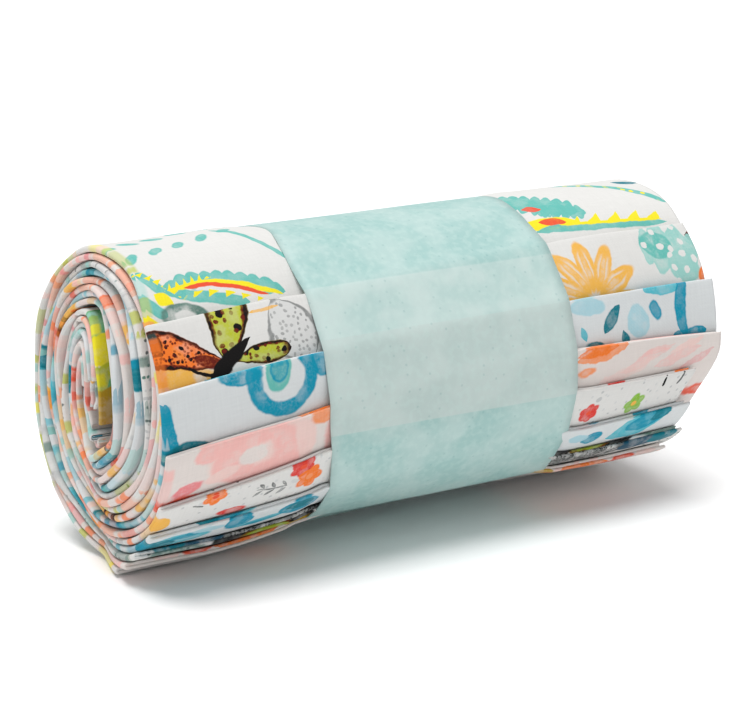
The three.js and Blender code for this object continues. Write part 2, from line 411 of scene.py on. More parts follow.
BAND_PLY = 0.25
BAND_EASE = -0.08    # from the loose cloth's outer face to the middle of the tight paper
BAND_COLUMNS = 24
BAND_ROWS = 240
BAND_SEAM = 236.0    # degrees from the top towards the front
BAND_LAP = 14.0


def convex_hull(points):
    """The outline of a taut string round points in a plane."""
    def half(walk):
        hull = []
        for p in walk:
            while len(hull) > 1:
                a, b = hull[-2], hull[-1]
                if (b[0] - a[0]) * (p[1] - a[1]) - (b[1] - a[1]) * (p[0] - a[0]) > 0:
                    break
                hull.pop()
            hull.append(p)
        return hull[:-1]

    walk = sorted(map(tuple, points))
    return np.array(half(walk) + half(walk[::-1]))


def taut_outline(x):
    """The radius of a taut line round the outermost cloth at this place along the roll, at each
    whole degree from the top towards the front."""
    faces = []
    for number, (ends, _, _) in enumerate(PIECES.values(), 1):
        depth = STACK - PITCH * number
        start = float(angle_seen_at(end_at(x, ends), depth))
        faces.append(spiral_point(np.arange(start, start + TURN, 1.0), depth))
    hull = convex_hull(np.concatenate(faces))
    hull = np.concatenate([hull, hull[:1]])
    share = np.linspace(0, 1, 12)[:, None]
    line = np.concatenate([a + (b - a) * share for a, b in zip(hull[:-1], hull[1:])])
    turn = np.degrees(np.arctan2(-line[:, 0], line[:, 1] - AXIS_HEIGHT)) % TURN
    radius = np.hypot(line[:, 0], line[:, 1] - AXIS_HEIGHT)
    order = np.argsort(turn)
    return np.interp(np.arange(TURN + 1), turn[order], radius[order], period=TURN)


def paper_band():
    """Paper pulled tight round the roll, bridging its steps, with its lap at the back."""
    stations = np.linspace(BAND_LEFT, BAND_RIGHT, 5)
    outlines = [taut_outline(x) for x in stations]
    points, flat_map = [], []
    for degree in np.linspace(BAND_SEAM - BAND_LAP, BAND_SEAM + TURN, BAND_ROWS):
        turn = degree % TURN
        xs = np.linspace(*band_edges(turn), BAND_COLUMNS)
        radius = np.interp(xs, stations, [np.interp(turn, np.arange(TURN + 1), o)
                                          for o in outlines])
        lap = smooth((degree - BAND_SEAM - TURN + BAND_LAP + 4) / 4)
        soft = 0.03 * np.sin(0.13 * xs + np.radians(3 * degree)) * (1 - lap)
        radius = radius + BAND_EASE + squash(xs, turn) + soft + (BAND_PLY + 0.05) * lap
        a = math.radians(degree)
        z = np.maximum(radius * math.cos(a) + AXIS_HEIGHT, BAND_PLY / 2 + 0.02)
        points.append(np.stack([xs, -radius * math.sin(a), z], -1))
        flat_map.append(np.stack([xs, np.full(len(xs), degree - BAND_SEAM)], -1))
    points = np.array(points)
    piece = mesh_piece("band", points, quads(*points.shape[:2]), np.array(flat_map), "paper")
    thicken(piece, BAND_PLY)
    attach(piece, "root")
    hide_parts("paper_band")
    return piece


# ---------------------------------------------------------------- shader wiring

class Wires:
    """One node tree being wired. Each method adds a node and returns the socket it puts out."""

    def __init__(self, tree):
        self.tree = tree

    def node(self, kind, output=0, settings=None, **inputs):
        node = self.tree.nodes.new(kind)
        for key, value in (settings or {}).items():
            setattr(node, key, value)
        for key, value in inputs.items():
            socket = node.inputs[int(key[1:])] if key[0] == "_" and key[1:].isdigit() else (
                node.inputs[key.replace("_", " ")])
            self.feed(value, socket)
        return node.outputs[output]

    def feed(self, value, socket):
        if isinstance(value, bpy.types.NodeSocket):
            self.tree.links.new(value, socket)
        elif value is not None:
            socket.default_value = value

    def math(self, operation, a, b=None, c=None):
        return self.node("ShaderNodeMath", 0, {"operation": operation}, _0=a, _1=b, _2=c)

    def vector(self, operation, a, b=None, c=None, output=0):
        return self.node("ShaderNodeVectorMath", output, {"operation": operation}, _0=a, _1=b, _2=c)

    def scale(self, a, by):
        return self.node("ShaderNodeVectorMath", 0, {"operation": "SCALE"}, _0=a, Scale=by)

    def soft_step(self, value, low, high):
        return self.node("ShaderNodeMapRange", 0, {"interpolation_type": "SMOOTHSTEP"},
                         Value=value, From_Min=low, From_Max=high)

    def mix(self, share, a, b):
        return self.node("ShaderNodeMix", 2, {"data_type": "RGBA"}, _0=share, _6=a, _7=b)

    def noise(self, at, scale, detail=2.0, output=0):
        return self.node("ShaderNodeTexNoise", output, {"noise_dimensions": "2D"},
                         Vector=at, Scale=scale, Detail=detail)

    def split(self, vector):
        node = self.tree.nodes.new("ShaderNodeSeparateXYZ")
        self.feed(vector, node.inputs[0])
        return node.outputs[0], node.outputs[1]

    def join(self, x, y):
        return self.node("ShaderNodeCombineXYZ", 0, None, X=x, Y=y)


def new_group(name, takes, gives):
    """An empty node group with named sockets. Returns it, its wires, its inputs and its end."""
    group = bpy.data.node_groups.new(name, "ShaderNodeTree")
    for label, kind, value in takes:
        socket = group.interface.new_socket(label, in_out="INPUT", socket_type="NodeSocket" + kind)
        if value is not None:
            socket.default_value = value
    for label, kind in gives:
        group.interface.new_socket(label, in_out="OUTPUT", socket_type="NodeSocket" + kind)
    start = group.nodes.new("NodeGroupInput")
    end = group.nodes.new("NodeGroupOutput")
    return group, Wires(group), start.outputs, end.inputs


def effect_place_in_repeat():
    """Turns the cloth's place into a mark's own place, again in every repeat of the print."""
    group, w, given, end = new_group(
        "place in repeat",
        [("Cloth", "Vector", None), ("Centre", "Vector", None), ("Half Repeat", "Vector", None),
         ("Other Half", "Vector", None), ("Turn", "Float", 0.0)],
        [("Local", "Vector")])
    local = w.vector("SUBTRACT", given["Cloth"], given["Centre"])
    local = w.vector("WRAP", local, given["Half Repeat"], given["Other Half"])
    turned = w.node("ShaderNodeVectorRotate", 0, {"rotation_type": "Z_AXIS"},
                    Vector=local, Angle=given["Turn"])
    w.feed(turned, end["Local"])
    return group


def effect_petals():
    """Folds the space round a mark into petals: x along a petal from its middle, y across it."""
    group, w, given, end = new_group(
        "petals", [("Local", "Vector", None), ("Half Angle", "Float", 0.6), ("Reach", "Float", 3.0)],
        [("Local", "Vector")])
    x, y = w.split(given["Local"])
    far = w.vector("LENGTH", given["Local"], output=1)
    angle = w.math("ARCTAN2", y, x)
    other = w.math("MULTIPLY", given["Half Angle"], -1.0)
    angle = w.math("WRAP", angle, given["Half Angle"], other)
    along = w.math("SUBTRACT", w.math("MULTIPLY", far, w.math("COSINE", angle)), given["Reach"])
    across = w.math("MULTIPLY", far, w.math("SINE", angle))
    w.feed(w.join(along, across), end["Local"])
    return group


def effect_row():
    """Repeats a mark in pairs along both sides of a stem of this half length."""
    group, w, given, end = new_group(
        "row of leaves",
        [("Local", "Vector", None), ("Half Step", "Float", 3.0), ("Half Length", "Float", 20.0),
         ("Off Stem", "Float", 2.0), ("Tilt", "Float", 0.6)],
        [("Local", "Vector"), ("Inside", "Float")])
    x, y = w.split(given["Local"])
    other = w.math("MULTIPLY", given["Half Step"], -1.0)
    along = w.math("WRAP", x, given["Half Step"], other)
    across = w.math("SUBTRACT", w.math("ABSOLUTE", y), given["Off Stem"])
    turned = w.node("ShaderNodeVectorRotate", 0, {"rotation_type": "Z_AXIS"},
                    Vector=w.join(along, across), Angle=given["Tilt"])
    w.feed(turned, end["Local"])
    w.feed(w.math("LESS_THAN", w.math("ABSOLUTE", x), given["Half Length"]), end["Inside"])
    return group


def effect_shape(kind):
    """How far out a place is in a mark: 0 in its middle, 1 at its edge."""
    group, w, given, end = new_group(
        kind + " reach",
        [("Local", "Vector", None), ("Size", "Vector", None), ("Bend", "Float", 0.0),
         ("Pitch", "Float", 3.0)],
        [("Reach", "Float")])
    x, y = w.split(given["Local"])
    y = w.math("ADD", y, w.math("MULTIPLY", given["Bend"], w.math("MULTIPLY", x, x)))
    share = w.vector("DIVIDE", w.join(x, y), given["Size"])
    if kind == "oval":
        reach = w.vector("LENGTH", share, output=1)
    else:
        along, across = w.split(share)
        power = {"leaf": 2.0, "wing": 3.0}.get(kind, 8.0)
        width = w.math("SUBTRACT", 1.0, w.math("POWER", w.math("ABSOLUTE", along), power))
        if kind == "wing":
            width = w.math("MULTIPLY", width, w.math("MULTIPLY_ADD", along, 0.36, 0.64))
        if kind == "frill":
            ripple = w.math("SINE", w.math("MULTIPLY", x, w.math("DIVIDE", math.pi, given["Pitch"])))
            width = w.math("MULTIPLY", width, w.math("MULTIPLY_ADD", w.math("ABSOLUTE", ripple),
                                                     0.4, 0.6))
        if kind == "teeth":
            tooth = w.math("FRACT", w.math("DIVIDE", x, given["Pitch"]))
            width = w.math("MULTIPLY", width, w.math("MULTIPLY_ADD", tooth, -1.5, 1.0))
            across = w.math("SUBTRACT", w.math("MULTIPLY", across, 2.0), width)
        width = w.math("MAXIMUM", width, 0.001)
        reach = w.math("DIVIDE", w.math("ABSOLUTE", across), width)
        reach = w.math("MAXIMUM", reach, w.math("ABSOLUTE", along))
    w.feed(reach, end["Reach"])
    return group


def effect_ink():
    """Where a mark is inked: filled or only its rim, with a soft edge where the water stopped,
    and paler in clouds where the brush ran dry."""
    group, w, given, end = new_group(
        "ink",
        [("Reach", "Float", 1.0), ("Rim", "Float", 2.0), ("Soft", "Float", 0.1),
         ("Cloth", "Vector", None), ("Dry", "Float", 0.2)],
        [("Mask", "Float")])
    outer = w.math("ADD", 1.0, given["Soft"])
    inside = w.math("SUBTRACT", 1.0, w.soft_step(given["Reach"], 1.0, outer))
    inner = w.math("SUBTRACT", 1.0, given["Rim"])
    off_middle = w.soft_step(given["Reach"], w.math("SUBTRACT", inner, given["Soft"]), inner)
    cloud = w.soft_step(w.noise(given["Cloth"], 0.34, 3.0), 0.38, 0.66)
    grain = w.soft_step(w.noise(given["Cloth"], 2.1, 2.0), 0.35, 0.8)
    worn = w.math("ADD", w.math("MULTIPLY", cloud, 0.7), w.math("MULTIPLY", grain, 0.3))
    pooled = w.math("MULTIPLY", w.soft_step(given["Reach"], 0.72, 0.98), 0.7)
    worn = w.math("MULTIPLY", worn, w.math("SUBTRACT", 1.0, pooled))
    streak = w.math("SUBTRACT", 1.0, w.math("MULTIPLY", given["Dry"], worn))
    mask = w.math("MULTIPLY", w.math("MULTIPLY", inside, off_middle), streak)
    w.feed(mask, end["Mask"])
    return group


def effect_sprinkle():
    """Small blots all over the cloth, each with its own number for choosing a colour."""
    group, w, given, end = new_group(
        "sprinkle",
        [("Cloth", "Vector", None), ("Spacing", "Float", 6.0), ("Size", "Float", 1.5),
         ("Soft", "Float", 0.4), ("Share", "Float", 0.6)],
        [("Mask", "Float"), ("Pick", "Float")])
    node = w.tree.nodes.new("ShaderNodeTexVoronoi")
    node.voronoi_dimensions = "2D"
    w.feed(given["Cloth"], node.inputs["Vector"])
    w.feed(w.math("DIVIDE", 1.0, given["Spacing"]), node.inputs["Scale"])
    node.inputs["Randomness"].default_value = 0.85
    distance = w.math("MULTIPLY", node.outputs["Distance"], given["Spacing"])
    ragged = w.math("ADD", distance, w.math("MULTIPLY", w.math("SUBTRACT", w.noise(
        given["Cloth"], 0.9, 3.0), 0.5), given["Size"]))
    near = w.math("SUBTRACT", 1.0, w.soft_step(ragged, given["Size"], w.math(
        "ADD", given["Size"], given["Soft"])))
    colour = w.tree.nodes.new("ShaderNodeSeparateColor")
    w.feed(node.outputs["Color"], colour.inputs[0])
    chosen = w.math("LESS_THAN", colour.outputs[0], given["Share"])
    w.feed(w.math("MULTIPLY", near, chosen), end["Mask"])
    w.feed(colour.outputs[1], end["Pick"])
    return group


def effect_brushed_edge():
    """Shifts the cloth's places a little, so that what is printed has a painter's uneven edge."""
    group, w, given, end = new_group(
        "brushed edge",
        [("Cloth", "Vector", None), ("Amount", "Float", 1.0), ("Scale", "Float", 0.35)],
        [("Cloth", "Vector")])
    shift = w.noise(given["Cloth"], given["Scale"], 3.0, output=1)
    shift = w.scale(w.vector("SUBTRACT", shift, (0.5, 0.5, 0.5)), given["Amount"])
    w.feed(w.vector("ADD", given["Cloth"], shift), end["Cloth"])
    return group


def effect_weave():
    """A plain weave: the height of its threads, and how much they break up a printed colour."""
    group, w, given, end = new_group(
        "plain weave",
        [("Cloth", "Vector", None), ("Thread", "Float", 0.36)],
        [("Height", "Float"), ("Fleck", "Float")])
    x, y = w.split(given["Cloth"])
    turn = w.math("DIVIDE", math.pi, given["Thread"])
    wave_x = w.math("SINE", w.math("MULTIPLY", x, turn))
    wave_y = w.math("SINE", w.math("MULTIPLY", y, turn))
    over = w.math("MULTIPLY", wave_x, wave_y)
    slub_x = w.noise(w.vector("MULTIPLY", given["Cloth"], (0.25, 2.6, 1.0)), 1.0, 2.0)
    slub_y = w.noise(w.vector("MULTIPLY", given["Cloth"], (2.6, 0.25, 1.0)), 1.0, 2.0)
    slub = w.math("ADD", slub_x, slub_y)
    w.feed(w.math("ADD", w.math("MULTIPLY", over, 0.35), slub), end["Height"])
    w.feed(w.math("MULTIPLY", w.math("SUBTRACT", slub, 1.0), 1.0), end["Fleck"])
    return group


EFFECTS = {
    "place": effect_place_in_repeat(),
    "petals": effect_petals(),
    "row": effect_row(),
    "oval": effect_shape("oval"),
    "leaf": effect_shape("leaf"),
    "stem": effect_shape("stem"),
    "teeth": effect_shape("teeth"),
    "frill": effect_shape("frill"),
    "wing": effect_shape("wing"),
    "ink": effect_ink(),
    "sprinkle": effect_sprinkle(),
    "brushed": effect_brushed_edge(),
    "weave": effect_weave(),
}


def effect(w, name, output=0, **inputs):
    node = w.tree.nodes.new("ShaderNodeGroup")
    node.node_tree = EFFECTS[name]
    for key, value in inputs.items():
        w.feed(value, node.inputs[key.replace("_", " ")])
    return node.outputs if output is None else node.outputs[output]


# ---------------------------------------------------------------- the prints

def rgb(red, green, blue):
    """A colour given as seen on a screen, 0 to 255, in the light values that shaders use."""
    values = [channel / 255 for channel in (red, green, blue)]
    return (*(v / 12.92 if v < 0.04045 else ((v + 0.055) / 1.055) ** 2.4 for v in values), 1)


TEAL = rgb(104, 192, 182)
PALE_TEAL = rgb(158, 212, 204)
DEEP_TEAL = rgb(0, 124, 140)
SEA_GREEN = rgb(106, 186, 130)
SKY = rgb(86, 192, 208)
MIST = rgb(176, 216, 226)
TURQUOISE = rgb(0, 152, 182)
NAVY = rgb(4, 78, 104)
LEMON = rgb(250, 234, 42)
GOLD = rgb(248, 188, 84)
OCHRE = rgb(196, 156, 40)
OLIVE = rgb(150, 166, 34)
FAINT_GREY = rgb(217, 218, 217)
ORANGE = rgb(252, 126, 42)
APRICOT = rgb(252, 156, 104)
CORAL = rgb(240, 88, 58)
RED = rgb(228, 58, 48)
PINK = rgb(250, 192, 186)
BLUSH = rgb(246, 214, 207)
ROSE = rgb(240, 142, 146)
LIME = rgb(192, 200, 52)
GREEN = rgb(138, 190, 58)
BLACK = rgb(14, 10, 10)
BROWN = rgb(112, 30, 14)
GREY = rgb(108, 111, 110)
SMOKE = rgb(96, 132, 122)
PALE_GREY = rgb(200, 201, 201)
WHITE = rgb(232, 231, 228)
COOL_WHITE = rgb(226, 230, 231)
WARM_WHITE = rgb(235, 226, 221)


def around(centre, turn, x, y):
    """A place given in a motif's own directions, turned and moved to where the motif is."""
    c, s = math.cos(turn), math.sin(turn)
    return centre[0] + c * x - s * y, centre[1] + s * x + c * y


def wing(root, tip, broad, colour, rim=BROWN, spots=1.5):
    """One wing from its root at the body to its tip: a wash, a rough dark edge and spots."""
    centre = ((root[0] + tip[0]) / 2, (root[1] + tip[1]) / 2)
    turn = math.atan2(tip[1] - root[1], tip[0] - root[0])
    half = math.dist(root, tip) / 2
    marks = [("wing", centre, turn, (half, broad), colour, {"dry": 0.25}),
             ("wing", centre, turn, (half, broad), rim, {"rim": 0.2, "dry": 0.9}),
             ("wing", centre, turn, (half, broad), BLACK, {"rim": 0.1, "dry": 1.0})]
    if spots:
        marks.append(("wing", centre, turn, (half * 0.9, broad * 0.86), BLACK, {"dots": spots}))
        marks.append(("wing", centre, turn, (half * 0.9, broad * 0.86), rim,
                      {"dots": spots * 0.57, "dry": 0.6}))
    return marks


def butterfly(centre, turn, size=1.0, upper=ORANGE, lower=LIME):
    """A plain butterfly: spotted upper wings, smaller lower wings, a dark body and feelers.
    Its head points along its own x."""
    marks = []
    for hand in (1, -1):
        root = around(centre, turn, 1.2 * size, hand * 0.6 * size)
        marks += wing(around(centre, turn, -1.0 * size, hand * 0.5 * size),
                      around(centre, turn, -7.4 * size, hand * 6.4 * size), 2.9 * size, lower,
                      spots=0)
        marks += wing(root, around(centre, turn, 4.4 * size, hand * 12.6 * size), 3.6 * size, upper)
        feeler = around(centre, turn, 7.0 * size, hand * 2.0 * size)
        marks.append(("stem", feeler, turn + hand * 0.5, (2.9 * size, 0.2 * size), BLACK,
                      {"bend": -hand * 0.07}))
    marks.append(("leaf", centre, turn, (5.0 * size, 1.15 * size), BLACK, {"dry": 0.1}))
    return marks


def daisy(centre, turn, size, colour, heart=None, count=9):
    """Outlined petals with a stroke down the middle of each."""
    marks = [("oval", centre, turn, (2.9 * size, 1.12 * size), colour,
              {"petals": count, "far": 4.1 * size, "rim": 0.24, "dry": 0.5}),
             ("oval", centre, turn, (2.3 * size, 0.36 * size), colour,
              {"petals": count, "far": 3.6 * size, "dry": 0.7}),
             ("oval", centre, turn, (2.9 * size, 1.12 * size), colour,
              {"petals": count, "far": 4.1 * size, "wash": 0.3})]
    if heart:
        marks.append(("oval", centre, turn, (1.3 * size, 1.2 * size), heart, {"dry": 0.3}))
    return marks


def blossom(centre, turn, size, colour, heart, count=5):
    return [("oval", centre, turn, (0.95 * size, 0.75 * size), colour,
             {"petals": count, "far": 0.9 * size, "dry": 0.35}),
            ("oval", centre, turn, (0.42 * size, 0.36 * size), heart, {})]


def twig(centre, turn, length):
    """A thin pencilled twig with pairs of small leaves."""
    return [("stem", centre, turn, (length, 0.13), GREY, {"dry": 0.7, "bend": 0.014}),
            ("leaf", centre, turn, (1.0, 0.24), GREY, {"row": (2.3, length, 0.9, 0.8), "dry": 0.6})]


# A print is a ground colour, blots of several colours sprinkled over it, and placed marks: shape,
# centre, turn, half sizes, colour and how it is inked, painted in this order. Places are across
# the cut from the lengthwise fold and along it from the crosswise fold. "fold" are the colours
# that the print brings to the folded edge. A few marks are painted shade, noted where they stand.
PRINTS = {
    "fat_eighth_1": dict(
        ground=WHITE, repeat=(118.0, 47.0), edge=0.5, blots=[],
        fold=(ORANGE, GOLD, PALE_TEAL, BLUSH, PINK),
        marks=[
            ("oval", (1.8, 8.6), 1.2, (4.6, 3.4), GOLD, {"dry": 0.4, "soft": 0.9}),
            ("oval", (6.6, 11.6), 0.2, (4.0, 2.4), GOLD, {"dry": 0.85, "soft": 0.9}),
            ("leaf", (25.6, 6.0), 1.2, (6.4, 4.6), FAINT_GREY, {"wash": 0.7, "soft": 0.6}),
            ("leaf", (25.6, 6.0), 1.2, (6.6, 4.8), GREY, {"rim": 0.09, "dry": 0.8, "wash": 0.8}),
            ("leaf", (25.6, 6.0), 1.2, (6.0, 4.2), GREY, {"dots": 0.95, "dry": 0.4, "wash": 0.6}),
            ("stem", (21.2, 1.5), -0.04, (3.2, 0.2), GOLD, {"dry": 0.3}),
            *wing((12.4, 9.2), (15.2, -4.2), 5.2, LIME, spots=2.9),
            *wing((13.2, 8.8), (24.4, 8.6), 2.4, LIME, spots=1.9),
            *wing((12.8, 9.2), (-4.2, 2.2), 4.3, ORANGE, spots=1.35),
            ("oval", (0.2, 3.0), 1.4, (1.5, 0.9), BLACK, {"dry": 0.3}),
            ("oval", (9.4, 8.2), 0.5, (2.6, 1.0), BROWN, {"dry": 0.7}),
            ("leaf", (12.9, 8.4), -0.56, (5.2, 1.25), BLACK, {}),
            ("oval", (11.4, 9.6), -0.56, (1.9, 1.3), BLACK, {}),
            ("stem", (7.6, 9.8), 0.42, (2.7, 0.2), BLACK, {"bend": 0.07}),
            ("stem", (9.8, 11.6), -0.7, (1.6, 0.2), BLACK, {"bend": 0.07}),
            *daisy((88.4, 11.9), 0.12, 1.55, GOLD, None, 11),
            ("frill", (108.6, 4.6), 0.25, (6.6, 5.2), PALE_TEAL, {"pitch": 4.3, "dry": 0.5}),
            ("oval", (110.6, 8.4), 0.3, (3.4, 2.9), PALE_TEAL, {"dry": 0.3}),
            ("oval", (106.0, 3.4), 0.3, (3.4, 2.6), TEAL, {"dry": 0.8}),
            ("oval", (108.8, 5.2), 0.3, (6.4, 5.6), WHITE, {"dots": 2.7}),
            ("oval", (115.6, 10.6), 0.3, (2.0, 1.6), ORANGE, {"dry": 0.3}),
            *butterfly((58, 26), 0.7, 1.0, GOLD, TEAL),
            *daisy((22, 30), 0.5, 1.5, APRICOT, LEMON),
            *daisy((98, 33), 0.2, 1.3, TEAL, GOLD),
        ]),
    "fat_eighth_2": dict(
        ground=COOL_WHITE, repeat=(118.0, 36.0), edge=0.5, blots=[],
        fold=(TURQUOISE, SKY, MIST, BLUSH, PALE_TEAL),
        marks=[
            ("oval", (14.2, 0.6), 0.1, (3.6, 1.3), TURQUOISE, {"dry": 0.5}),
            ("oval", (30.4, 1.0), 0.5, (2.2, 2.6), TURQUOISE, {"dry": 0.4}),
            ("oval", (22.0, 2.4), 0.1, (6.7, 6.3), TURQUOISE, {"rim": 0.35, "dry": 0.35}),
            ("oval", (21.4, 1.4), 0.4, (2.4, 3.0), TEAL, {"dry": 0.2}),
            ("oval", (21.6, 1.0), 0.2, (1.8, 2.0), TURQUOISE, {"dry": 0.7}),
            ("stem", (0.5, 6.4), 1.4, (4.8, 0.62), TURQUOISE, {"dry": 0.3, "bend": 0.02}),
            ("oval", (3.8, 11.6), 0.05, (4.8, 2.1), DEEP_TEAL, {"dry": 0.3}),
            ("oval", (86.4, 1.4), 0.1, (3.4, 1.5), MIST, {"dry": 0.3}),
            ("leaf", (91.4, 4.2), -0.86, (3.1, 1.1), DEEP_TEAL, {"dry": 0.3}),
            ("leaf", (84.8, 6.4), 1.3, (1.4, 0.6), SKY, {"dry": 0.3}),
            ("leaf", (94.4, 8.4), 1.35, (1.9, 0.75), DEEP_TEAL, {"dry": 0.3}),
            ("oval", (87.4, 8.8), 0.2, (1.7, 0.6), DEEP_TEAL, {"dry": 0.3}),
            ("oval", (97.6, 5.6), 1.4, (3.0, 2.3), MIST, {"dry": 0.5}),
            ("oval", (102.0, 4.0), 1.4, (1.7, 1.15), TURQUOISE, {"dry": 0.2}),
            ("stem", (103.6, 0.1), 0.1, (4.4, 0.95), SKY, {"dry": 0.3, "bend": 0.02}),
            ("stem", (108.0, 4.3), 1.62, (5.4, 1.15), TURQUOISE, {"dry": 0.2, "bend": 0.035}),
            ("stem", (109.8, 9.3), -0.1, (4.2, 0.75), TURQUOISE, {"dry": 0.4}),
            ("oval", (18, 22), 0.2, (9.0, 6.4), SKY, {"rim": 0.3, "dry": 0.3}),
            ("leaf", (46, 24), 1.2, (6.0, 1.6), TURQUOISE, {"dry": 0.2}),
            ("oval", (68, 12), 0.2, (7.0, 5.4), TURQUOISE, {"rim": 0.34, "dry": 0.5}),
            ("oval", (96, 23), 0.2, (7.0, 5.4), SKY, {"rim": 0.4, "dry": 0.5}),
        ]),
    "fat_eighth_3": dict(
        ground=WARM_WHITE, repeat=(118.0, 34.0), edge=0.9, blots=[],
        fold=(PINK, APRICOT, BLUSH, BLUSH, CORAL),
        marks=[
            ("oval", (17.4, 4.4), 0.1, (9.0, 6.0), BLUSH, {"dry": 0.3, "soft": 1.2}),
            ("oval", (16.8, 4.6), 0.1, (7.8, 5.4), PINK, {"rim": 0.5, "dry": 0.6, "soft": 0.9}),
            ("oval", (14.0, 6.2), 0.6, (2.0, 1.3), PINK, {"dry": 0.4, "soft": 0.5}),
            ("oval", (15.8, 4.4), 0.2, (2.2, 1.5), WARM_WHITE, {"dry": 0.2, "soft": 0.6}),
            ("oval", (25.6, 4.6), 1.5, (3.4, 1.4), BLUSH, {"dry": 0.3, "soft": 0.8}),
            ("oval", (29.4, 0.4), -0.2, (2.6, 1.3), APRICOT, {"dry": 0.3, "soft": 0.5}),
            ("oval", (31.2, 6.4), 1.5, (3.6, 1.2), PINK, {"dry": 0.5, "soft": 0.8}),
            ("oval", (7.6, 1.2), -0.3, (2.6, 1.5), PINK, {"dry": 0.4, "soft": 0.5}),
            ("oval", (4.2, 8.2), -0.3, (2.6, 1.3), ROSE, {"dry": 0.6, "soft": 0.5}),
            ("oval", (10.6, 6.6), -0.3, (2.6, 1.1), BLUSH, {"dry": 0.3, "soft": 0.5}),
            # Painted shade: these two thin coral and rose strips along the lower edge stand for the
            # reddish shade where this piece dips under the next one, with painted reflected colour from
            # the pink cloth
            ("oval", (2.4, 11.4), 0.0, (7.0, 1.3), CORAL, {"dry": 0.5, "soft": 0.7}),
            ("oval", (13.6, 11.4), 0.05, (6.4, 1.0), ROSE, {"dry": 0.6, "soft": 0.7}),
            ("leaf", (88.2, 1.0), -0.2, (6.0, 1.4), APRICOT, {"dry": 0.3, "soft": 0.4}),
            ("leaf", (87.2, 0.4), -0.15, (4.6, 0.9), ORANGE, {"dry": 0.5, "soft": 0.4}),
            ("oval", (84.6, 4.6), -0.2, (1.6, 0.7), APRICOT, {"dry": 0.4, "soft": 0.5}),
            ("leaf", (98.6, 3.4), -0.34, (6.4, 0.8), PINK, {"wash": 0.6, "dry": 0.7, "soft": 0.5}),
            ("leaf", (101.2, 1.9), -0.3, (4.2, 0.5), PINK, {"wash": 0.6, "dry": 0.6, "soft": 0.4}),
            ("leaf", (106.4, 3.6), -0.32, (6.2, 0.9), PINK, {"wash": 0.6, "dry": 0.7, "soft": 0.5}),
            ("leaf", (108.6, 1.4), -0.3, (4.4, 0.6), BLUSH, {"dry": 0.3, "soft": 0.4}),
            ("leaf", (94.2, 5.4), -0.26, (7.4, 0.9), BLUSH, {"wash": 0.6, "dry": 0.3, "soft": 0.5}),
            ("leaf", (111.6, 4.6), -0.5, (4.6, 0.7), ROSE, {"wash": 0.5, "dry": 0.8, "soft": 0.5}),
            ("oval", (28, 23), 0.4, (7.5, 5.5), PINK, {"rim": 0.4, "dry": 0.5, "soft": 0.9}),
            ("oval", (58, 10), 0.9, (6.0, 3.6), ROSE, {"dry": 0.7, "soft": 0.9}),
            ("oval", (82, 22), 0.9, (6.5, 4.6), PINK, {"rim": 0.5, "dry": 0.5, "soft": 0.9}),
            ("leaf", (104, 25), 0.4, (6.0, 2.2), APRICOT, {"dry": 0.4, "soft": 0.6}),
        ]),
    "fat_eighth_4": dict(
        ground=WHITE, repeat=(118.0, 29.0), edge=0.35,
        blots=[(1.7, 0.16, 0.5, (FAINT_GREY, PALE_GREY, PALE_GREY, PALE_GREY, FAINT_GREY)),
               (3.4, 0.5, 0.3, (FAINT_GREY, FAINT_GREY, FAINT_GREY, PALE_GREY, FAINT_GREY))],
        fold=(GOLD, ORANGE, BLUSH, PALE_GREY, PINK),
        marks=[
            ("stem", (6.6, 1.8), 0.5, (1.2, 0.14), GREY, {"dry": 0.4}),
            *twig((20.2, 3.6), 0.25, 3.2),
            ("stem", (104.4, 1.0), 1.3, (1.1, 0.2), BLACK, {"bend": 0.1}),
            ("stem", (108.6, 1.2), 1.7, (1.2, 0.2), GREY, {"bend": -0.1}),
            ("oval", (0.6, 4.4), 1.2, (2.4, 1.5), GOLD, {"dry": 0.2}),
            *blossom((9.6, 0.6), 0.3, 1.15, ORANGE, CORAL, 5),
            ("oval", (14.0, 7.0), 0.15, (2.3, 0.9), RED, {"dry": 0.5}),
            *blossom((25.6, 0.8), 0.5, 1.15, RED, CORAL, 6),
            *blossom((27.4, 4.2), 0.1, 1.35, ORANGE, APRICOT, 5),
            *blossom((88.2, 5.2), 0.3, 1.1, RED, CORAL, 6),
            *blossom((99.4, 5.0), 0.7, 1.15, GREEN, GOLD, 5),
            *blossom((52, 12.0), 0.6, 1.4, CORAL, GOLD, 6),
            *blossom((20, 20.0), 0.2, 1.3, ORANGE, RED, 5),
            *blossom((84, 20.0), 0.2, 1.2, GREEN, GOLD, 5),
            *twig((36, 18), 0.6, 4.0),
            *twig((70, 8), -0.4, 4.0),
        ]),
    "fat_eighth_5": dict(
        ground=COOL_WHITE, repeat=(118.0, 31.0), edge=0.7, blots=[],
        fold=(TURQUOISE, SKY, MIST, TEAL, PALE_TEAL),
        marks=[
            ("oval", (4.6, 4.0), 0.0, (6.6, 3.2), SKY, {"dry": 0.4}),
            ("oval", (1.2, 4.0), 0.3, (4.2, 2.6), DEEP_TEAL, {"dry": 0.4}),
            ("oval", (6.6, 2.4), 0.0, (2.4, 1.1), TURQUOISE, {"dry": 0.5}),
            ("oval", (10.6, 1.6), 0.1, (2.6, 1.0), MIST, {"dry": 0.3}),
            ("oval", (16.0, 1.8), 1.4, (3.2, 2.2), TURQUOISE, {"dry": 0.3}),
            ("leaf", (20.8, 4.6), -0.1, (5.2, 1.3), SKY, {"dry": 0.3}),
            ("leaf", (20.8, 4.9), -0.1, (4.2, 0.6), TURQUOISE, {"dry": 0.4}),
            ("oval", (27.8, 3.0), 0.3, (3.6, 3.0), TURQUOISE, {"dry": 0.6}),
            ("oval", (27.8, 2.4), 0.3, (2.6, 1.8), DEEP_TEAL, {"dry": 0.7}),
            ("oval", (91.2, 3.2), 0.1, (2.1, 1.6), TURQUOISE, {"dry": 0.35}),
            ("oval", (87.6, 2.4), 0.1, (2.0, 1.2), MIST, {"dry": 0.3}),
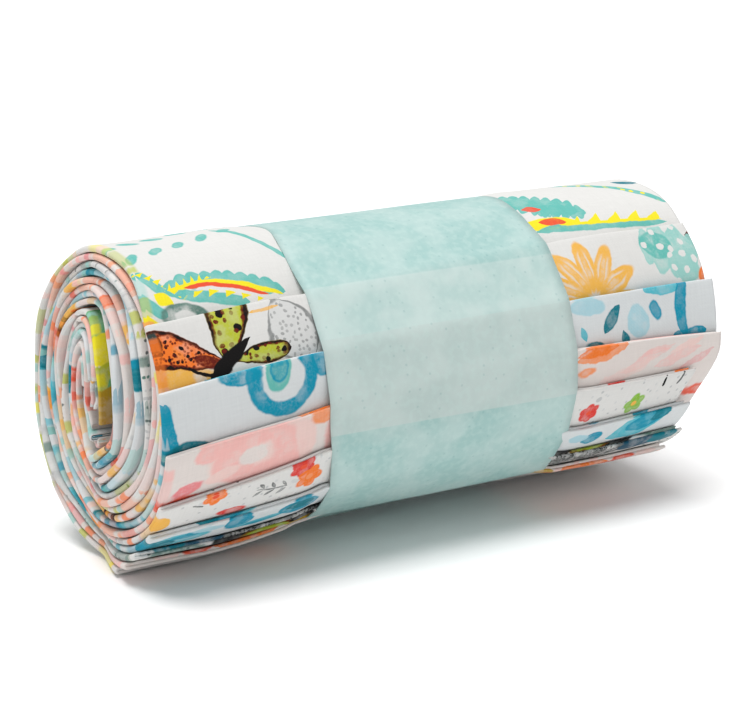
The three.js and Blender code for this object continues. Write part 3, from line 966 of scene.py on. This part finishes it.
            ("leaf", (102.8, 2.6), -0.3, (7.4, 3.4), SKY, {"dry": 0.3}),
            ("oval", (104.0, 1.8), -0.2, (4.2, 2.4), TURQUOISE, {"dry": 0.5}),
            ("oval", (107.4, 0.8), -0.2, (2.0, 1.4), DEEP_TEAL, {"dry": 0.6}),
            ("oval", (40, 18.0), 0.3, (6.5, 4.6), TURQUOISE, {"rim": 0.35, "dry": 0.35}),
            ("oval", (70, 8.0), 1.1, (5.5, 2.6), TEAL, {"dry": 0.3}),
        ]),
    "fat_eighth_6": dict(
        ground=WHITE, repeat=(118.0, 27.0), edge=0.5,
        blots=[(1.5, 0.2, 0.7, (PALE_GREY, GREY, PALE_GREY, SMOKE, GREY))],
        fold=(SMOKE, PALE_GREY, LIME, FAINT_GREY, PALE_TEAL),
        marks=[
            ("oval", (8.4, 2.2), 0.1, (6.2, 2.6), SMOKE, {"dry": 0.9, "soft": 0.6}),
            ("oval", (18.0, 1.4), 0.1, (4.0, 2.4), BLACK, {"dry": 0.15}),
            ("leaf", (25.2, 1.4), 0.05, (7.0, 2.6), OLIVE, {"dry": 0.2}),
            ("leaf", (25.2, 1.4), 0.05, (7.0, 2.6), BROWN, {"rim": 0.2, "dry": 0.9}),
            ("oval", (31.4, 0.8), 0.05, (2.4, 1.7), BLACK, {"dry": 0.3}),
            ("oval", (92.0, 1.2), 0.0, (11.0, 3.0), GREY, {"dry": 0.96, "soft": 0.6}),
            ("oval", (92.0, 1.2), 0.0, (11.0, 3.0), BLACK, {"dots": 0.55, "dry": 0.5}),
            ("oval", (106.4, 1.0), -0.1, (5.2, 2.6), NAVY, {"dry": 0.4}),
            ("oval", (111.6, 1.0), -0.2, (3.0, 2.0), DEEP_TEAL, {"dry": 0.4}),
            ("leaf", (50, 14), 0.8, (9.0, 3.6), GREY, {"dots": 0.8}),
            ("leaf", (88, 15.5), 0.3, (8.0, 3.0), LIME, {"dry": 0.3}),
        ]),
    "fat_eighth_7": dict(
        ground=WARM_WHITE, repeat=(118.0, 33.0), edge=0.6,
        blots=[(5.2, 0.9, 0.3, (BLUSH, PINK, APRICOT, BLUSH, PINK))],
        fold=(PINK, APRICOT, BLUSH, ORANGE, ROSE),
        marks=[
            ("oval", (6.0, 3.0), 0.4, (3.2, 1.6), BLUSH, {"dry": 0.4}),
            ("leaf", (84.0, 1.6), 0.1, (6.2, 2.4), OCHRE, {"dry": 0.5}),
            ("leaf", (94.0, 1.4), -0.1, (8.2, 2.4), ORANGE, {"dry": 0.5}),
            ("oval", (104.0, 1.4), -0.2, (3.6, 1.8), CORAL, {"dry": 0.6}),
            ("oval", (110.0, 1.4), -0.2, (3.0, 1.8), BLUSH, {"dry": 0.6}),
            ("oval", (28, 6), -0.4, (5.0, 2.6), APRICOT, {"dry": 0.4}),
            *daisy((56, 13), 0.1, 1.2, ORANGE, RED),
        ]),
    "fat_eighth_8": dict(
        ground=WHITE, repeat=(118.0, 250.0), edge=0.4, blots=[],
        fold=(LEMON, LIME, APRICOT, PALE_TEAL, BLUSH),
        marks=[
            ("oval", (11.6, 95.0), -0.36, (1.75, 0.85), TEAL,
             {"row": (5.9, 14.5, 3.1, 0.5), "dry": 0.3}),
            ("stem", (25.4, 99.6), 1.12, (8.5, 0.5), TEAL, {"dry": 0.2}),
            ("stem", (11.6, 113.4), 0.26, (8.0, 0.95), TEAL, {"dry": 0.2}),
            ("stem", (2.2, 109.4), 0.95, (3.6, 0.85), TEAL, {"dry": 0.2, "bend": 0.03}),
            ("teeth", (3.3, 109.8), 3.89, (4.6, 1.5), LEMON, {"pitch": 1.7}),
            ("frill", (15.6, 110.0), 0.16, (11.4, 1.7), TEAL,
             {"dry": 0.2, "bend": -0.0174, "pitch": 2.3}),
            ("teeth", (8.6, 110.6), 2.94, (4.6, 1.5), LEMON, {"pitch": 1.5}),
            ("stem", (15.8, 110.9), 0.16, (10.6, 0.42), LEMON, {"bend": -0.0174}),
            ("teeth", (15.2, 112.7), 0.2, (7.2, 1.3), LEMON, {"bend": -0.012, "pitch": 3.0}),
            ("stem", (15.6, 111.6), 0.2, (8.0, 0.34), CORAL, {"bend": -0.015}),
            ("stem", (1.0, 113.6), 0.8, (3.6, 0.9), TEAL, {"dry": 0.2}),
            ("stem", (-0.2, 116.0), 0.8, (3.4, 0.6), LEMON, {}),
            ("leaf", (3.6, 112.9), 0.7, (2.0, 1.0), LEMON, {}),
            ("oval", (6.8, 116.4), 0.1, (4.0, 2.3), SMOKE, {"rim": 0.42, "dry": 0.7}),
            ("frill", (85.6, 97.4), 0.62, (9.2, 4.6), TEAL, {"dry": 0.25, "pitch": 2.1}),
            ("frill", (89.6, 101.6), 0.3, (5.6, 2.4), TEAL, {"dry": 0.25, "pitch": 1.7}),
            ("leaf", (85.2, 105.0), 0.1, (7.0, 1.6), LEMON, {}),
            ("leaf", (84.6, 99.4), 0.2, (2.0, 1.1), CORAL, {"dry": 0.2}),
            ("leaf", (86.2, 104.8), 0.2, (2.8, 1.1), CORAL, {"dry": 0.2}),
            ("stem", (96.6, 107.3), 0.06, (15.2, 0.8), TEAL, {"dry": 0.2}),
            ("stem", (99.0, 106.6), 0.06, (12.0, 0.3), LEMON, {}),
            ("teeth", (101.4, 106.5), 3.21, (11.0, 2.3), LEMON, {"pitch": 4.6}),
            ("stem", (107.4, 94.2), 0.76, (11.5, 0.7), TEAL, {"dry": 0.2, "bend": -0.012}),
            ("stem", (107.4, 94.2), 0.76, (11.5, 0.5), LEMON, {"bend": -0.012, "dots": 2.0}),
            ("leaf", (112.4, 92.0), 0.6, (2.6, 1.0), DEEP_TEAL, {"dry": 0.2}),
            ("oval", (1.6, 225.4), 1.35, (4.4, 3.4), SEA_GREEN, {"dry": 0.3}),
            ("oval", (2.0, 231.2), 1.3, (2.9, 3.4), LEMON, {"dry": 0.2}),
            ("oval", (2.0, 236.4), 1.35, (2.6, 3.4), LIME, {"dry": 0.3}),
            ("oval", (3.0, 238.0), 1.8, (1.9, 1.6), SEA_GREEN, {"dry": 0.2}),
            # Painted shade: the ochre at the tail's end is the yellow print darkened to stand for the
            # shade deep in the eye
            ("oval", (2.2, 242.6), 1.4, (4.6, 4.4), OCHRE, {"dry": 0.3}),
            *daisy((96, 74), 0.6, 1.6, PALE_TEAL, CORAL, 9),
            ("leaf", (104, 52), 0.9, (9.0, 3.4), TEAL, {"rim": 0.4, "dry": 0.2}),
            ("leaf", (104, 52), 0.9, (5.6, 1.3), LEMON, {"dry": 0.2}),
            ("stem", (93, 34), -0.3, (14.0, 0.8), TEAL, {"dry": 0.2, "bend": 0.008}),
            ("teeth", (93, 33.6), 2.84, (12.0, 2.2), LEMON, {"pitch": 3.4, "bend": -0.008}),
            *daisy((103, 12), 0.1, 1.4, APRICOT, TEAL, 8),
            ("stem", (17, 80), 0.5, (13.0, 0.7), TEAL, {"dry": 0.2, "bend": -0.01}),
            ("frill", (15, 62), -0.5, (8.0, 3.4), TEAL, {"dry": 0.25, "pitch": 2.1}),
            ("leaf", (14.5, 62.5), -0.5, (3.4, 1.0), CORAL, {"dry": 0.2}),
            *daisy((13, 41), 0.4, 1.5, TEAL, LEMON, 10),
            ("oval", (16, 22), 0.3, (1.75, 0.85), TEAL, {"row": (5.9, 15.0, 3.1, 0.5), "dry": 0.3}),
            ("stem", (12, 6), -0.2, (12.0, 0.7), TEAL, {"dry": 0.2, "bend": 0.012}),
            *daisy((50, 64), 0.2, 1.9, TEAL, LEMON, 11),
            ("leaf", (72, 28), 0.3, (12.0, 4.2), PALE_TEAL, {"rim": 0.4, "dry": 0.2}),
        ]),
}


def print_mark(w, colour, cloth, plain, half, mark):
    """Paints one mark of a print over the colour that is there."""
    shape, centre, turn, size, ink, how = mark
    local = effect(w, "place", Cloth=cloth, Centre=(*centre, 0), Half_Repeat=(*half, 1),
                   Other_Half=(-half[0], -half[1], -1), Turn=-turn)
    inside = None
    if "petals" in how:
        local = effect(w, "petals", Local=local, Half_Angle=math.pi / how["petals"],
                       Reach=how["far"])
    if "row" in how:
        step, length, off_stem, tilt = how["row"]
        outputs = effect(w, "row", None, Local=local, Half_Step=step / 2, Half_Length=length,
                         Off_Stem=off_stem, Tilt=tilt)
        local, inside = outputs[0], outputs[1]
    reach = effect(w, shape, Local=local, Size=(*size, 1), Bend=how.get("bend", 0.0),
                   Pitch=how.get("pitch", 3.0))
    soft = min(0.6, how.get("soft", 0.3) / min(size)) + 0.03
    mask = effect(w, "ink", Reach=reach, Rim=how.get("rim", 2.0), Soft=soft, Cloth=plain,
                  Dry=how.get("dry", 0.0))
    if inside is not None:
        mask = w.math("MULTIPLY", mask, inside)
    if "dots" in how:
        spots = effect(w, "sprinkle", Cloth=cloth, Spacing=how["dots"], Size=how["dots"] * 0.22,
                       Soft=0.14, Share=0.75)
        mask = w.math("MULTIPLY", mask, spots)
    if "wash" in how:
        mask = w.math("MULTIPLY", mask, how["wash"])
    return w.mix(mask, colour, ink)


def choose(w, pick, colours):
    """One of five colours by a number from 0 to 1."""
    ramp = w.tree.nodes.new("ShaderNodeValToRGB")
    ramp.color_ramp.interpolation = "CONSTANT"
    w.feed(pick, ramp.inputs[0])
    for index, colour in enumerate(colours):
        place = index / len(colours)
        stop = ramp.color_ramp.elements[0] if index == 0 else ramp.color_ramp.elements.new(place)
        stop.position = place
        stop.color = colour
    ramp.color_ramp.elements.remove(ramp.color_ramp.elements[len(colours)])
    return ramp.outputs[0]


def printed_cotton(name, design):
    """Quilting cotton with its print, fleck, weave and soft surface."""
    material = bpy.data.materials.new(name)
    material.use_nodes = True
    w = Wires(material.node_tree)
    shader = material.node_tree.nodes["Principled BSDF"]
    plain = w.node("ShaderNodeUVMap", 0, {"uv_map": "cloth"})
    cloth = effect(w, "brushed", Cloth=plain, Amount=design["edge"] * 2.4, Scale=0.22)
    cloth = effect(w, "brushed", Cloth=cloth, Amount=design["edge"] * 0.45, Scale=0.9)
    colour = w.mix(w.noise(plain, 0.05), design["ground"],
                   tuple(0.96 * c for c in design["ground"][:3]) + (1,))
    for spacing, size, share, colours in design["blots"]:
        blots = effect(w, "sprinkle", None, Cloth=cloth, Spacing=spacing, Size=size, Soft=0.2,
                       Share=share)
        colour = w.mix(blots[0], colour, choose(w, blots[1], colours))
    half = (design["repeat"][0] / 2, design["repeat"][1] / 2)
    for mark in design["marks"]:
        colour = print_mark(w, colour, cloth, plain, half, mark)

    # Where the print runs over the fold, the eye meets only short pieces of its colours
    across, _ = w.split(plain)
    over_fold = w.math("SUBTRACT", 1.0, w.soft_step(w.math("ABSOLUTE", across), 0.6, 1.4))
    stretched = w.vector("MULTIPLY", cloth, (0.3, 0.62, 1.0))
    for spacing, size, share, strength in ((4.1, 1.7, 0.5, 0.5), (1.9, 0.5, 0.5, 0.75)):
        dabs = effect(w, "sprinkle", None, Cloth=stretched, Spacing=spacing, Size=size, Soft=size * 0.8,
                      Share=share)
        cover = w.math("MULTIPLY", w.math("MULTIPLY", dabs[0], over_fold), strength)
        colour = w.mix(cover, colour, choose(w, dabs[1], design["fold"]))

    weave = effect(w, "weave", None, Cloth=plain, Thread=0.36)
    fleck = w.math("MULTIPLY_ADD", weave[1], 0.06, 0.83)
    fleck = w.node("ShaderNodeCombineXYZ", 0, None, X=fleck, Y=fleck, Z=fleck)
    w.feed(w.vector("MULTIPLY", colour, fleck), shader.inputs["Base Color"])
    bump = w.node("ShaderNodeBump", 0, None, Strength=0.28, Distance=0.00005, Height=weave[0])
    w.feed(bump, shader.inputs["Normal"])
    shader.inputs["Roughness"].default_value = 0.88
    shader.inputs["Specular IOR Level"].default_value = 0.2
    shader.inputs["Sheen Weight"].default_value = 0.05
    shader.inputs["Sheen Roughness"].default_value = 0.5
    return material


PANEL_TOP, PANEL_BOTTOM = 62.0, 97.0
WASH_TOP = 42.3


def washed_paper():
    """Band paper: pale aqua watercolour in four sections, with nothing written on it."""
    material = bpy.data.materials.new("band_paper")
    material.use_nodes = True
    w = Wires(material.node_tree)
    shader = material.node_tree.nodes["Principled BSDF"]
    paper = w.node("ShaderNodeUVMap", 0, {"uv_map": "paper"})
    x, turned = w.split(paper)
    front = w.math("ADD", turned, BAND_SEAM - TURN)
    spread = w.vector("MULTIPLY", paper, (1.0, 0.5, 1.0))
    cloud = w.soft_step(w.noise(spread, 0.11, 5.0), 0.34, 0.66)
    fine = w.soft_step(w.noise(spread, 0.7, 5.0), 0.42, 0.7)
    speck = effect(w, "sprinkle", Cloth=spread, Spacing=2.3, Size=0.14, Soft=0.16, Share=0.35)
    aqua = w.mix(cloud, rgb(168, 207, 203), rgb(188, 217, 213))
    pale = w.mix(cloud, rgb(188, 216, 212), rgb(206, 226, 222))
    panel = w.mix(cloud, rgb(194, 214, 210), rgb(204, 221, 217))
    colour = w.mix(w.soft_step(front, WASH_TOP - 0.4, WASH_TOP + 0.4), aqua, pale)
    lower = w.soft_step(front, PANEL_BOTTOM - 0.2, PANEL_BOTTOM + 0.2)
    in_panel = w.soft_step(front, PANEL_TOP - 0.2, PANEL_TOP + 0.2)
    colour = w.mix(in_panel, colour, panel)
    colour = w.mix(lower, colour, aqua)
    colour = w.mix(w.math("MULTIPLY", speck, 0.3), colour, rgb(126, 176, 176))
    colour = w.mix(w.math("MULTIPLY", fine, 0.3), colour, rgb(208, 232, 226))
    w.feed(w.vector("MULTIPLY", colour, (0.82, 0.82, 0.82)), shader.inputs["Base Color"])
    grain = w.noise(paper, 3.0, 4.0)
    bump = w.node("ShaderNodeBump", 0, None, Strength=0.15, Distance=0.00005, Height=grain)
    w.feed(bump, shader.inputs["Normal"])
    shader.inputs["Roughness"].default_value = 0.6
    return material


# ---------------------------------------------------------------- camera, light and floor

def studio():
    scene = bpy.context.scene
    camera_data = bpy.data.cameras.new("camera")
    camera = bpy.data.objects.new("camera", camera_data)
    scene.collection.objects.link(camera)
    place = Vector((-219.69, -346.96, 141.0)) * MM
    target = Vector((1.435, 0.0, 29.18)) * MM
    camera.location = place
    camera.rotation_euler = (target - place).to_track_quat("-Z", "Y").to_euler()
    camera_data.lens = 110.34
    camera_data.sensor_width = 36
    camera_data.clip_start = 0.01
    scene.camera = camera

    bpy.ops.mesh.primitive_plane_add(size=6, location=(0, 0, 0))
    floor = bpy.context.object
    floor.name = "floor"
    paper = bpy.data.materials.new("white_floor")
    paper.use_nodes = True
    shader = paper.node_tree.nodes["Principled BSDF"]
    shader.inputs["Base Color"].default_value = (0.95, 0.95, 0.95, 1)
    shader.inputs["Roughness"].default_value = 0.95
    floor.data.materials.append(paper)

    world = bpy.data.worlds.new("white_room")
    world.use_nodes = True
    world.node_tree.nodes["Background"].inputs["Color"].default_value = (1, 1, 1, 1)
    world.node_tree.nodes["Background"].inputs["Strength"].default_value = 0.54
    scene.world = world

    data = bpy.data.lights.new("window", "SUN")
    data.energy = 2.7
    data.angle = math.radians(38)
    lamp = bpy.data.objects.new("window", data)
    lamp.rotation_euler = Vector((0.12, -0.02, -1.0)).to_track_quat("-Z", "Y").to_euler()
    scene.collection.objects.link(lamp)
    scene.view_settings.view_transform = "Standard"


studio()

slots = {part["node"]: part["material_slot"] for part in frame["record"]["subparts"]}
for number, (node, (ends, shift, wider)) in enumerate(PIECES.items(), 1):
    cloth = fat_eighth(number, node, ends, shift, wider)
    cloth.data.materials.append(printed_cotton(slots[node], PRINTS[node]))
band = paper_band()
band.data.materials.append(washed_paper())
